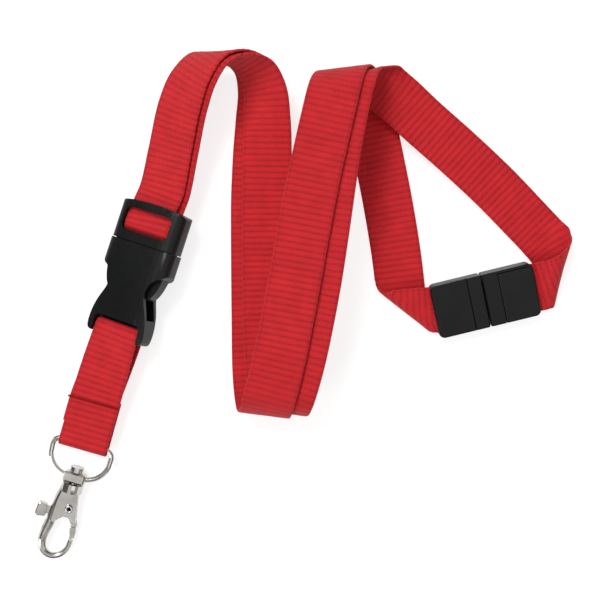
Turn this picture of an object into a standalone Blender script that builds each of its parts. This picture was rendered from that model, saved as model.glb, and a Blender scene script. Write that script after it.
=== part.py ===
"""Neck lanyard, folded up and lying on a table.

A long 20 mm webbing with a side-release buckle half way along and a safety
breakaway joining its ends. The buckle carries a short doubled webbing, a
D-ring and a swivelling trigger hook. Design lengths are millimetres; meshes
are made in metres, +Z up, with the table at z = 0.
"""

import math

import bmesh
import bpy
from mathutils import Matrix, Vector

MM = 0.001
UP = Vector((0.0, 0.0, 1.0))

# Middle of the laid-out lanyard's outline in the layout; it becomes the origin
OUTLINE_MIDDLE = Vector((0.84, -3.14, 0.05))

# Webbing
WEB_WIDTH = 20.0
WEB_THICK = 1.2
LAYER_PITCH = 1.8
CLEARANCE = 0.3
SEAM_GAP = 0.3
SECTION_STEP = 3.0

# Buckle: seam centre, heading of its long axis, and roll about that axis
BUCKLE_AT = (-61.5, 21.5, 9.4)
BUCKLE_HEADING = 72.0
BUCKLE_ROLL = 20.0
BUCKLE_THICK = 12.0
CROWN = 4.5
PLUG_WIDTH = 28.9
PLUG_LENGTH = 16.4
PLUG_BAR_AT = 7.2
PLUG_BAR_RADIUS = 2.1
PLUG_BAR_RISE = 0.7
WRAP_SHIFT = -0.6
SLOT_SIDES = (-11.9, 11.1)
SLOT_HALF = 3.9
WINDOW_SIDES = (-11.0, 10.4)
MARKS_AT = ((-5.9, 14.7), (7.8, 14.6))
GUIDE_LENGTH = 22.0
PRONG_LENGTH = 20.6
PRONG_HALF_THICK = 3.1
PRONG_ROOT = -1.3
SOCKET_WIDTH = 29.7
SOCKET_LENGTH = 38.4
SOCKET_WALL = 1.5
SOCKET_CAVITY = 3.4
WINDOW_END = 28.0
SOCKET_BAR_AT = -35.2
SOCKET_BAR_RADIUS = 1.4

# Safety breakaway: centre, heading and roll
BREAKAWAY_AT = (74.6, 0.1, 5.8)
BREAKAWAY_HEADING = 13.6
BREAKAWAY_ROLL = 12.0
BREAKAWAY_LENGTH = 42.3
BREAKAWAY_WIDTH = 21.9
BREAKAWAY_THICK = 7.0
TONGUE_LENGTH = 11.0
LEFT_CLAMP_END = -12.0
RIGHT_CLAMP_END = 6.4
LID_HEIGHT = 1.1

# Ring and hook: middle of the swivel collar, heading from hook to ring, roll
HOOK_AT = (-91.3, -71.9, 4.7)
HOOK_HEADING = 74.0
HOOK_PITCH = 3.8
HOOK_ROLL = -8.0
RING_BAR_AT = 14.2
RING_WIRE = 2.2
RING_WIDTH = 26.6
RING_CORNER = 3.0
COLLAR_WIDTH = 9.0
COLLAR_HALF = 2.15
COLLAR_HOLE = 1.8
POST_RADIUS = 1.4
HEAD_RADIUS = 2.8
FLANGE_RADIUS = 4.3
HOOK_THICK = 4.6
LEVER_THICK = 1.6
PIN_AT = (1.2, -12.6)
PIN_RADIUS = 1.1
PIN_BOSS_RADIUS = 1.85
GATE_REACH = 12.7
STITCH_ABOVE = 18.0
STITCH_RADIUS = 0.3

PLASTIC_COLOUR = (0.022, 0.023, 0.025, 1.0)
WEBBING_COLOUR = (0.62, 0.022, 0.03, 1.0)
THREAD_COLOUR = (0.42, 0.012, 0.02, 1.0)
NICKEL_COLOUR = (0.72, 0.69, 0.65, 1.0)
SPRING_COLOUR = (0.45, 0.45, 0.46, 1.0)


# ------------------------------------------------------------------ basics


def clear_scene():
    for item in list(bpy.data.objects):
        bpy.data.objects.remove(item, do_unlink=True)


def material(name, colour, roughness, metallic):
    made = bpy.data.materials.new(name)
    made.use_nodes = True
    shader = made.node_tree.nodes["Principled BSDF"]
    shader.inputs["Base Color"].default_value = colour
    shader.inputs["Roughness"].default_value = roughness
    shader.inputs["Metallic"].default_value = metallic
    return made


def direction(azimuth, lift=0.0):
    """Unit vector at an azimuth from +X and a lift above the table, in degrees."""
    turn = math.radians(azimuth)
    rise = math.radians(lift)
    return Vector((math.cos(turn) * math.cos(rise), math.sin(turn) * math.cos(rise), math.sin(rise)))


def placed_frame(name, at, heading, roll, pitch=0.0):
    """Empty with local y along the heading and local x to its right, rolled about y."""
    along = direction(heading, pitch)
    level = direction(heading - 90.0)
    up = level.cross(along)
    turn = math.radians(roll)
    across = level * math.cos(turn) + up * math.sin(turn)
    rotation = Matrix((across, along, across.cross(along))).transposed().to_4x4()
    empty = bpy.data.objects.new(name, None)
    empty.matrix_world = Matrix.Translation((Vector(at) - OUTLINE_MIDDLE) * MM) @ rotation
    bpy.context.collection.objects.link(empty)
    return empty


def in_frame(frame, x, y, z):
    """Layout position, in millimetres, of a point given in a frame."""
    return frame.matrix_world @ (Vector((x, y, z)) * MM) / MM + OUTLINE_MIDDLE


def add_object(name, bm, finish, parent=None, origin=(0.0, 0.0, 0.0)):
    """Object from a millimetre bmesh; origin is its pivot in the parent's frame."""
    pivot = Vector(origin)
    bmesh.ops.translate(bm, verts=bm.verts, vec=-pivot)
    bmesh.ops.scale(bm, verts=bm.verts, vec=(MM, MM, MM))
    bmesh.ops.recalc_face_normals(bm, faces=bm.faces)
    mesh = bpy.data.meshes.new(name)
    bm.to_mesh(mesh)
    bm.free()
    made = bpy.data.objects.new(name, mesh)
    bpy.context.collection.objects.link(made)
    if finish is not None:
        mesh.materials.append(finish)
        mesh.shade_smooth()
        mesh.set_sharp_from_angle(angle=math.radians(35.0))
    made.parent = parent
    made.location = pivot * MM
    return made


def boolean(target, operation, cutter):
    cutter.hide_render = True
    cutter.display_type = "WIRE"
    step = target.modifiers.new(operation.title() + " " + cutter.name, "BOOLEAN")
    step.operation = operation
    step.solver = "EXACT"
    step.object = cutter


def bevel(target, width, segments=2, angle=40.0):
    step = target.modifiers.new("Bevel", "BEVEL")
    step.width = width * MM
    step.segments = segments
    step.limit_method = "ANGLE"
    step.angle_limit = math.radians(angle)


def prism(outline, low, high):
    """bmesh of a plan outline, counter-clockwise, raised from z low to z high."""
    bm = bmesh.new()
    base = [bm.verts.new((x, y, low)) for x, y in outline]
    face = bm.faces.new(base)
    risen = bmesh.ops.extrude_face_region(bm, geom=[face])
    moved = [item for item in risen["geom"] if isinstance(item, bmesh.types.BMVert)]
    bmesh.ops.translate(bm, verts=moved, vec=(0.0, 0.0, high - low))
    return bm


def box(x0, x1, y0, y1, z0, z1):
    return prism([(x0, y0), (x1, y0), (x1, y1), (x0, y1)], z0, z1)


def rounded_outline(x0, x1, y0, y1, radius, steps=4):
    """Rectangle outline with round corners."""
    corners = ((x1, y1, 0.0), (x0, y1, 90.0), (x0, y0, 180.0), (x1, y0, 270.0))
    outline = []
    for x, y, start in corners:
        cx = x - radius if x == x1 else x + radius
        cy = y - radius if y == y1 else y + radius
        for i in range(steps + 1):
            turn = math.radians(start + 90.0 * i / steps)
            outline.append((cx + radius * math.cos(turn), cy + radius * math.sin(turn)))
    return outline


def cylinder(radius, low, high, axis="Z", at=(0.0, 0.0, 0.0), sides=24):
    bm = bmesh.new()
    turn = {
        "Z": Matrix.Identity(4),
        "X": Matrix.Rotation(math.pi / 2, 4, "Y"),
        "Y": Matrix.Rotation(-math.pi / 2, 4, "X"),
    }
    shift = Matrix.Translation((0.0, 0.0, (low + high) / 2.0))
    place = Matrix.Translation(at) @ turn[axis] @ shift
    bmesh.ops.create_cone(
        bm, cap_ends=True, segments=sides, radius1=radius, radius2=radius, depth=high - low, matrix=place
    )
    return bm


def skin(rings, closed=False):
    """bmesh through rings of points, with end caps unless the rings close up."""
    bm = bmesh.new()
    loops = [[bm.verts.new(point) for point in ring] for ring in rings]
    pairs = list(zip(loops, loops[1:]))
    if closed:
        pairs.append((loops[-1], loops[0]))
    for first, second in pairs:
        count = len(first)
        for i in range(count):
            j = (i + 1) % count
            bm.faces.new((first[i], first[j], second[j], second[i]))
    if not closed:
        bm.faces.new(list(reversed(loops[0])))
        bm.faces.new(loops[-1])
    return bm


def wire(path, sizes, normal, sides=12, closed=False):
    """Swept bar: at each path point an ellipse of in-plane and normal half sizes."""
    rings = []
    last = len(path) - 1
    for i, point in enumerate(path):
        before = path[i - 1] if i or closed else path[i]
        after = path[(i + 1) % len(path)] if i < last or closed else path[i]
        along = (Vector(after) - Vector(before)).normalized()
        side = along.cross(normal).normalized()
        over = side.cross(along)
        wide, tall = sizes[i]
        ring = []
        for k in range(sides):
            turn = 2.0 * math.pi * k / sides
            ring.append(Vector(point) + side * (wide * math.cos(turn)) + over * (tall * math.sin(turn)))
        rings.append(ring)
    return skin(rings, closed)


def arc(cx, cy, radius, start, end, steps):
    points = []
    for i in range(steps + 1):
        turn = math.radians(start + (end - start) * i / steps)
        points.append((cx + radius * math.cos(turn), cy + radius * math.sin(turn)))
    return points


def helper(name, bm, parent):
    """Cutter or added lump that only feeds Boolean modifiers."""
    return add_object(name, bm, None, parent)


# ------------------------------------------------------------ webbing routes

# Both halves of the neck webbing lie on each other from the buckle to the far
# end of the middle leg. Each station is x, y, z of the outer half's centre,
# the azimuth and lift of the line across the webbing, and how far the inner
# half is shifted along that line.
SHARED_RUN = [
    (-55.4, 44.0, 9.8, -16, 20, 1.8),
    (-51.8, 59.6, 12.5, -13, 25, 2.0),
    (-47.4, 76.8, 18.0, -14, 29, 2.0),
    (-42.6, 87.8, 21.5, -20, 36, 2.0),
    (-35.5, 96.0, 21.0, -16, 44, 2.0),
    (-26.7, 97.0, 15.8, 0, 50, 2.5),
    (-19.4, 93.4, 10.6, 6, 43, 3.2),
    (-16.6, 85.0, 7.4, 2, 31, 3.8),
    (-16.7, 73.2, 5.2, 0, 20, 4.3),
    (-17.5, 58.2, 3.0, 0, 9, 4.6),
    (-18.2, 40.9, 1.4, 0, 3, 4.8),
    (-18.2, 20.5, 1.0, 0, 1, 4.8),
    (-18.0, -4.1, 1.1, -1, 1, 4.8),
    (-17.6, -28.0, 1.6, -4, 0, 5.4),
    (-16.6, -38.2, 5.0, -5, 0, 5.8),
    (-15.2, -44.2, 12.0, -6, 0, 6.2),
    (-13.8, -44.4, 20.5, -8, 0, 6.6),
    (-12.0, -39.0, 28.0, -10, 0, 7.0),
    (-8.0, -23.3, 31.6, -12, 0, 7.5),
    (-2.5, 4.6, 31.6, -13, 0, 7.8),
    (1.5, 27.1, 31.6, -13, 0, 7.4),
    (5.3, 46.9, 31.6, -12, 0, 6.4),
    (8.6, 62.0, 31.6, -11, 0, 5.4),
]
MIDDLE_HEADING = 77.0
OUTER_TOP_FOLD = ((11.8, 75.9, 31.5), 7.0, 14.2)
INNER_TOP_FOLD = ((16.9, 76.2, 29.5), 17.1, 9.6)
TOP_TURN_FROM = 6
DOWN_RUN = [
    (31.4, 61.1, 3.0, 13, 8),
    (35.5, 40.8, 2.6, 12, 8),
    (39.2, 19.0, 1.8, 11, 4),
]
DOWN_HEADING = -84.0
LEFT_FOLD = ((41.6, -0.5, 1.1), -38.0, 2.4)
TOP_TURN = [
    (29.8, 86.4, 14.0, 25, 3),
    (38.4, 81.0, 11.6, 36, 6),
]
BAND_RUN = [
    (49.3, 71.5, 9.6, 43, 8),
    (64.1, 58.9, 7.6, 46, 8),
    (78.9, 45.7, 5.0, 47, 6),
]
BAND_END_RUN = [
    (90.6, 34.1, 3.2, 47, 4),
    (98.2, 26.3, 2.4, 49, 3),
    (101.7, 22.0, 3.2, 54, 9),
    (104.0, 17.2, 4.6, 66, 18),
    (105.5, 12.5, 6.2, 76, 24),
    (104.5, 9.3, 8.0, 84, 26),
    (101.9, 6.9, 9.0, 93, 24),
    (98.6, 5.8, 8.0, 100, 17),
]


def station(x, y, z, azimuth, lift, *_):
    return Vector((x, y, z)), direction(azimuth, lift)


def fold(start, heading, axis_azimuth, radius, side, lifts=(0.0, 0.0)):
    """Half a turn round a level axis; side 1 rolls up and back over, -1 rolls down."""
    axis = direction(axis_azimuth)
    ahead = direction(heading)
    along = ahead.dot(axis)
    out = ahead - axis * along
    across = out.length
    out.normalize()
    steps = max(6, math.ceil(math.pi * radius / 3.5))
    stations = []
    for i in range(steps + 1):
        share = i / steps
        turn = math.pi * share
        rise = UP * (side * (1.0 - math.cos(turn)))
        shift = axis * (turn * along / across) + out * math.sin(turn) + rise
        lift = lifts[0] + (lifts[1] - lifts[0]) * share
        stations.append((Vector(start) + shift * radius, direction(axis_azimuth, lift)))
    return stations


def inner_half(run):
    """Stations of the half that lies inside the outer half's bends."""
    laid = [(Vector(row[:3]), direction(row[3], row[4]), row[5]) for row in run]
    stations = []
    for i, (place, across, shift) in enumerate(laid):
        before = laid[max(i - 1, 0)][0]
        after = laid[min(i + 1, len(laid) - 1)][0]
        outward = across.cross(after - before).normalized()
        stations.append((place + across * shift - outward * LAYER_PITCH, across))
    return stations


def smooth(stations):
    """Points every few millimetres on a smooth curve through the stations."""
    count = len(stations)
    knots = [0.0]
    for (a, _), (b, _) in zip(stations, stations[1:]):
        knots.append(knots[-1] + math.sqrt((b - a).length))

    def slope(values, i):
        if i == 0:
            return (values[1] - values[0]) / (knots[1] - knots[0])
        if i == count - 1:
            return (values[i] - values[i - 1]) / (knots[i] - knots[i - 1])
        before = (values[i] - values[i - 1]) / (knots[i] - knots[i - 1])
        after = (values[i + 1] - values[i]) / (knots[i + 1] - knots[i])
        return before + after - (values[i + 1] - values[i - 1]) / (knots[i + 1] - knots[i - 1])

    places = [place for place, _ in stations]
    acrosses = [across for _, across in stations]
    samples = []
    for i in range(count - 1):
        span = knots[i + 1] - knots[i]
        pieces = max(1, round((places[i + 1] - places[i]).length / SECTION_STEP))
        for k in range(pieces):
            t = k / pieces
            leaving = (t**3 - 2 * t**2 + t) * span
            arriving = (t**3 - t**2) * span
            weights = (2 * t**3 - 3 * t**2 + 1, leaving, 3 * t**2 - 2 * t**3, arriving)
            sample = []
            for values in (places, acrosses):
                rows = (values[i], slope(values, i), values[i + 1], slope(values, i + 1))
                total = Vector((0.0, 0.0, 0.0))
                for weight, row in zip(weights, rows):
                    total += row * weight
                sample.append(total)
            samples.append((sample[0], sample[1].normalized()))
    samples.append((places[-1], acrosses[-1].normalized()))
    return samples


def webbing(name, stations, finish, width=WEB_WIDTH):
    """Flat strap through the stations, of full width square to its own run."""
    samples = smooth(stations)
    rings = []
    last = len(samples) - 1
    for i, (place, across) in enumerate(samples):
        along = (samples[min(i + 1, last)][0] - samples[max(i - 1, 0)][0]).normalized()
        square = math.sqrt(1.0 - across.dot(along) ** 2)
        reach = across * (width / 2.0 / square)
        lift = across.cross(along).normalized() * (WEB_THICK / 2.0)
        middle = place - OUTLINE_MIDDLE
        rings.append([middle - reach - lift, middle + reach - lift, middle + reach + lift, middle - reach + lift])
    return add_object(name, skin(rings), finish)


def loop_round(frame, centre, radius, start, end, steps=8):
    """Stations round a bar that runs along the frame's x, turn 0 being its +z side."""
    across = (frame.matrix_world.to_3x3() @ Vector((1.0, 0.0, 0.0))).normalized()
    x, y, z = centre
    stations = []
    for i in range(steps + 1):
        turn = math.radians(start + (end - start) * i / steps)
        place = in_frame(frame, x, y - radius * math.sin(turn), z + radius * math.cos(turn))
        stations.append((place, across))
    return stations


def neck_webbing(buckle, breakaway, finish):
    across = (buckle.matrix_world.to_3x3() @ Vector((1.0, 0.0, 0.0))).normalized()
    side = (breakaway.matrix_world.to_3x3() @ Vector((1.0, 0.0, 0.0))).normalized()
    round_bar = PLUG_BAR_RADIUS + CLEARANCE + WEB_THICK / 2.0

    outer = [(in_frame(buckle, -1.2, 17.5, 1.4), across)]
    outer += [station(*row) for row in SHARED_RUN]
    start, axis, radius = OUTER_TOP_FOLD
    outer += fold(start, MIDDLE_HEADING, axis, radius, -1)
    outer += [station(*row) for row in DOWN_RUN]
    start, axis, radius = LEFT_FOLD
    outer += fold(start, DOWN_HEADING, axis, radius, 1, (0.0, -9.5))
    for y in (3.6 - BREAKAWAY_LENGTH / 2.0, LEFT_CLAMP_END - 0.4):
        outer.append((in_frame(breakaway, 0.0, y, 0.0), side))

    inner = [(in_frame(buckle, 0.5, 17.5, -1.1), across)]
    inner += inner_half(SHARED_RUN)
    start, axis, radius = INNER_TOP_FOLD
    inner += fold(start, MIDDLE_HEADING, axis, radius, -1)[:TOP_TURN_FROM]
    inner += [station(*row) for row in TOP_TURN + BAND_RUN]

    wrap = loop_round(buckle, (WRAP_SHIFT, PLUG_BAR_AT, PLUG_BAR_RISE), round_bar, 0.0, 180.0)
    webbing("neck_strap", outer[::-1] + wrap + inner, finish)

    end = [band_split(0.5)]
    end += [station(*row) for row in BAND_END_RUN]
    for y in (BREAKAWAY_LENGTH / 2.0 - 0.5, 16.0, RIGHT_CLAMP_END + 0.4):
        end.append((in_frame(breakaway, 0.0, y, 0.0), -side))
    webbing("neck_strap_end", end, finish)


def band_split(gap):
    """Start of the band's last stretch, just past the end of the stretch before it."""
    place, across = station(*BAND_RUN[-1])
    ahead = (Vector(BAND_END_RUN[0][:3]) - place).normalized()
    return place + ahead * gap, across


def short_webbing(buckle, ring, finish, thread):
    round_socket = SOCKET_BAR_RADIUS + CLEARANCE + WEB_THICK / 2.0
    round_ring = RING_WIRE / 2.0 + CLEARANCE + WEB_THICK / 2.0
    across = (ring.matrix_world.to_3x3() @ Vector((1.0, 0.0, 0.0))).normalized()

    def by_ring(x, above, z):
        return in_frame(ring, x, RING_BAR_AT + above, z), across

    route = [by_ring(-0.8, 7.5, 0.0), by_ring(-0.8, 13.0, -0.1), by_ring(-0.6, STITCH_ABOVE + 2.0, -0.4)]
    route += loop_round(buckle, (0.0, SOCKET_BAR_AT, 0.0), round_socket, 180.0, 360.0)
    route += [by_ring(0.0, STITCH_ABOVE, 1.6), by_ring(0.0, 8.0, 1.8)]
    route += loop_round(ring, (0.0, RING_BAR_AT, 0.0), round_ring, 0.0, 180.0)
    route += [by_ring(0.0, 8.0, -1.9), by_ring(0.0, STITCH_ABOVE, -1.9)]
    route.append(by_ring(0.0, STITCH_ABOVE + 1.5, -2.0))
    webbing("short_strap", route, finish)

    over = 1.6 + WEB_THICK / 2.0 + CLEARANCE + STITCH_RADIUS
    path = []
    sizes = []
    for x in (-10.9, -10.5, -9.8, -5.0, 0.0, 5.0, 9.6, 10.0):
        path.append((x, RING_BAR_AT + STITCH_ABOVE, over))
        thick = STITCH_RADIUS * (1.5 if x == -10.5 else 1.0)
        sizes.append((thick, thick))
    add_object("short_strap_stitching", wire(path, sizes, UP, 8), thread, ring)


# ------------------------------------------------------------------- buckle


def curve_through(points, steps=3):
    """Smooth curve through plan points, or through rows of any equal length."""
    rows = []
    last = len(points) - 1
    for i in range(last):
        a = points[max(i - 1, 0)]
        b = points[i]
        c = points[i + 1]
        d = points[min(i + 2, last)]
        for k in range(steps):
            t = k / steps
            row = []
            for p, q, r, s in zip(a, b, c, d):
                bend = (2 * p - 5 * q + 4 * r - s) * t**2 + (3 * q - p - 3 * r + s) * t**3
                row.append((2 * q + (r - p) * t + bend) / 2.0)
            rows.append(tuple(row))
    rows.append(tuple(points[last]))
    return rows


def crowned(name, half_width, profile, parent):
    """Bar along y with a flattened round section; profile is rows of y and half thickness."""
    rings = []
    for y, thick in profile:
        ring = []
        for i in range(40):
            turn = 2.0 * math.pi * (i + 0.5) / 40
            c, s = math.cos(turn), math.sin(turn)
            x = math.copysign(half_width * abs(c) ** (2.0 / CROWN), c)
            z = math.copysign(thick * abs(s) ** (2.0 / CROWN), s)
            ring.append(Vector((x, y, z)))
        rings.append(ring)
    return helper(name, skin(rings), parent)


def plug(buckle, finish):
    half = PLUG_WIDTH / 2.0
    corner = 1.6
    outline = [(-half, SEAM_GAP / 2.0), (half, SEAM_GAP / 2.0)]
    outline += arc(half - corner, PLUG_LENGTH - 2.2, corner, 0.0, 75.0, 4)
    for x in (9.0, 4.5, 0.0, -4.5, -9.0):
        outline.append((x, PLUG_LENGTH + 0.4 - 0.9 * (x / half) ** 2))
    outline += arc(corner - half, PLUG_LENGTH - 2.2, corner, 105.0, 180.0, 4)
    thick = BUCKLE_THICK / 2.0
    body = add_object("plug_body", prism(outline, -thick - 1.0, thick + 1.0), finish, buckle)
    profile = [(-1.0, thick), (PLUG_LENGTH - 1.5, thick), (PLUG_LENGTH + 0.6, thick - 0.7)]
    boolean(body, "INTERSECT", crowned("plug_crown", half, profile, buckle))

    slot = box(*SLOT_SIDES, 3.2, 20.0, -SLOT_HALF, SLOT_HALF)
    boolean(body, "DIFFERENCE", helper("plug_slot", slot, buckle))
    window = prism(rounded_outline(*WINDOW_SIDES, 3.9, 13.4, 2.4), -8.0, 8.0)
    boolean(body, "DIFFERENCE", helper("plug_window", window, buckle))
    bar = cylinder(PLUG_BAR_RADIUS, -12.5, 12.5, "X", (0.0, PLUG_BAR_AT, PLUG_BAR_RISE), 24)
    boolean(body, "UNION", helper("plug_bar", bar, buckle))
    lip = box(-12.8, 12.8, PRONG_ROOT + CLEARANCE, 1.0, -3.0, 3.0)
    boolean(body, "UNION", helper("plug_lip", lip, buckle))
    blade = [(-2.4, 0.5), (-2.4, 3.0 - GUIDE_LENGTH), (-1.4, -GUIDE_LENGTH), (1.4, -GUIDE_LENGTH)]
    blade += [(2.4, 3.0 - GUIDE_LENGTH), (2.4, 0.5)]
    boolean(body, "UNION", helper("plug_guide", prism(blade, -1.7, 1.7), buckle))
    for i, (x, y) in enumerate(MARKS_AT):
        height = thick * (1.0 - (abs(x) / half) ** CROWN) ** (1.0 / CROWN)
        path = [(x + 1.05 * math.cos(a), y + 1.05 * math.sin(a), height) for a in turns(20)]
        mark = helper("mould_mark_%d" % i, wire(path, [(0.14, 0.14)] * 20, UP, 6, True), buckle)
        boolean(body, "UNION", mark)


def turns(count):
    return [2.0 * math.pi * i / count for i in range(count)]


def prong(name, side, buckle, finish):
    pad = [(12.9, -10.0), (12.9, -11.6), (12.0, -15.4), (10.6, -18.6), (8.8, -PRONG_LENGTH)]
    outline = [(12.3, PRONG_ROOT), (12.3, -8.8)] + curve_through(pad)
    outline += [(7.2, -PRONG_LENGTH + 0.6), (8.1, -14.6), (10.3, -9.6), (10.5, PRONG_ROOT)]
    outline = [(side * x, y) for x, y in outline]
    if side > 0:
        outline.reverse()
    pivot = (side * 11.4, PRONG_ROOT, 0.0)
    made = add_object(name, prism(outline, -PRONG_HALF_THICK, PRONG_HALF_THICK), finish, buckle, pivot)
    bevel(made, 0.35)


def socket(buckle, finish):
    half = SOCKET_WIDTH / 2.0
    waist = [(11.6, -11.6), (9.9, -13.2), (8.9, -15.6), (8.5, -18.0), (8.9, -20.5)]
    waist += [(10.1, -23.3), (11.5, -26.8), (12.5, -30.6), (13.0, -34.4), (12.9, -36.8)]
    side = [(half, -SEAM_GAP / 2.0), (half, -9.1), (half - 1.6, -10.8)] + curve_through(waist, 2)
    side += [(12.4, -37.9), (11.3, -SOCKET_LENGTH)]
    outline = [(-x, y) for x, y in side] + side[::-1]
    thick = BUCKLE_THICK / 2.0
    body = add_object("socket_body", prism(outline, -thick - 1.0, thick + 1.0), finish, buckle)
    # how far along the socket, and how much thinner it is there than at its mouth
    thins = [(-14.0, 0.0), (-19.0, 0.1), (-24.0, 0.35), (-28.0, 0.7)]
    thins += [(-32.0, 1.1), (-36.0, 1.7), (-40.0, 2.5)]
    profile = [(2.0, thick)] + [(y, thick - less) for y, less in thins]
    boolean(body, "INTERSECT", crowned("socket_crown", half, profile[::-1], buckle))
    inside = half - SOCKET_WALL
    cavity = box(-inside, inside, -WINDOW_END, 2.0, -SOCKET_CAVITY, SOCKET_CAVITY)
    boolean(body, "DIFFERENCE", helper("socket_cavity", cavity, buckle))
    openings = (("strap_opening", -31.2, -2.3, 7.0), ("strap_floor", -32.6, -7.0, -1.9))
    for name, start, low, high in openings:
        opening = prism(rounded_outline(-10.4, 10.4, -44.0, start, 2.0), low, high)
        boolean(body, "DIFFERENCE", helper(name, opening, buckle))
    bar = cylinder(SOCKET_BAR_RADIUS, -11.0, 11.0, "X", (0.0, SOCKET_BAR_AT, 0.0), 20)
    boolean(body, "UNION", helper("socket_bar", bar, buckle))


# ---------------------------------------------------------------- breakaway


def breakaway_shell(name, side, frame, finish=None):
    """Whole outer form of one half: square at the seam, round corners at the outer end."""
    half = BREAKAWAY_WIDTH / 2.0
    end = BREAKAWAY_LENGTH / 2.0
    thick = BREAKAWAY_THICK / 2.0
    outline = [(half, side * SEAM_GAP / 2.0)]
    outline += [(x, side * y) for x, y in arc(half - 2.4, end - 2.4, 2.4, 0.0, 90.0, 5)]
    outline += [(x, side * y) for x, y in arc(2.4 - half, end - 2.4, 2.4, 90.0, 180.0, 5)]
    outline.append((-half, side * SEAM_GAP / 2.0))
    bm = prism(outline, -thick, thick)
    shell = add_object(name, bm, finish, frame) if finish else helper(name, bm, frame)
    bevel(shell, 0.7, 3)
    return shell


def lid_space(name, steps, low_x, frame):
    """Space above a stepped line, rows of y and z, from low_x to past the other side."""
    rows = steps + [(steps[-1][0], 9.0), (steps[0][0], 9.0)]
    if steps[-1][0] < steps[0][0]:
        rows.reverse()
    return helper(name, skin([[Vector((x, y, z)) for y, z in rows] for x in (low_x, 16.0)]), frame)


def breakaway_half(name, side, lid_line, lid_side, clamp_end, frame, finish):
    """One half with its lid: the lid line is rows of y and z, the lid side its lowest x."""
    gap = CLEARANCE / 2.0
    body = breakaway_shell(name, side, frame, finish)
    steps = [(y - side * gap, z - gap) for y, z in lid_line]
    boolean(body, "DIFFERENCE", lid_space(name + "_seat", steps, lid_side - gap, frame))
    channel = [(-10.2, clamp_end), (10.2, clamp_end), (10.2, side * 17.0), (10.8, side * 22.2)]
    channel += [(-10.8, side * 22.2), (-10.2, side * 17.0)]
    if side < 0.0:
        channel.reverse()
    boolean(body, "DIFFERENCE", helper(name + "_channel", prism(channel, -1.05, 1.15), frame))

    lid = breakaway_shell(name + "_cover", side, frame, finish)
    steps = [(y + side * gap, z + gap) for y, z in lid_line]
    boolean(lid, "INTERSECT", lid_space(name + "_lid", steps, lid_side + gap, frame))
    return body


def breakaway_halves(frame, finish):
    far = 24.0
    left_line = [(-6.0, 2.25), (-11.7, 2.25), (-12.15, LID_HEIGHT), (-far, LID_HEIGHT)]
    left = breakaway_half("breakaway_socket", -1.0, left_line, -16.0, LEFT_CLAMP_END, frame, finish)
    cavity = box(-7.8, 7.8, -TONGUE_LENGTH - CLEARANCE, 1.0, -1.5, 1.5)
    boolean(left, "DIFFERENCE", helper("tongue_cavity", cavity, frame))
    right_line = [(6.6, LID_HEIGHT), (far, LID_HEIGHT)]
    right = breakaway_half("breakaway_plug", 1.0, right_line, -9.9, RIGHT_CLAMP_END, frame, finish)
    tongue = box(-7.5, 7.5, -TONGUE_LENGTH, 1.0, -1.2, 1.2)
    boolean(right, "UNION", helper("tongue", tongue, frame))


# ------------------------------------------------------------- ring and hook


def clasp_ring(ring, finish):
    side = RING_WIDTH / 2.0 - RING_WIRE / 2.0
    top = RING_BAR_AT
    half = [(0.0, top), (side - RING_CORNER, top)]
    half += arc(side - RING_CORNER, top - RING_CORNER, RING_CORNER, 90.0, 0.0, 5)[1:]
    for i in range(1, 9):
        turn = math.radians(90.0 * i / 8)
        half.append((3.2 + (side - 3.2) * math.cos(turn), 9.4 - 9.2 * math.sin(turn)))
    path = [(-x, y, 0.0) for x, y in half[:0:-1]] + [(x, y, 0.0) for x, y in half[1:]]
    sizes = [(RING_WIRE / 2.0, RING_WIRE / 2.0)] * len(path)
    body = add_object("clasp_ring", wire(path, sizes, UP, 12), finish, ring, (0.0, RING_BAR_AT, 0.0))
    width = COLLAR_WIDTH / 2.0
    collar = helper("collar", box(-width, width, -COLLAR_HALF, COLLAR_HALF, -2.4, 2.4), ring)
    bevel(collar, 0.7, 1)
    boolean(body, "UNION", collar)
    hole = cylinder(COLLAR_HOLE, -4.0, 4.0, "Y", sides=20)
    boolean(body, "DIFFERENCE", helper("collar_hole", hole, ring))


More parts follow.
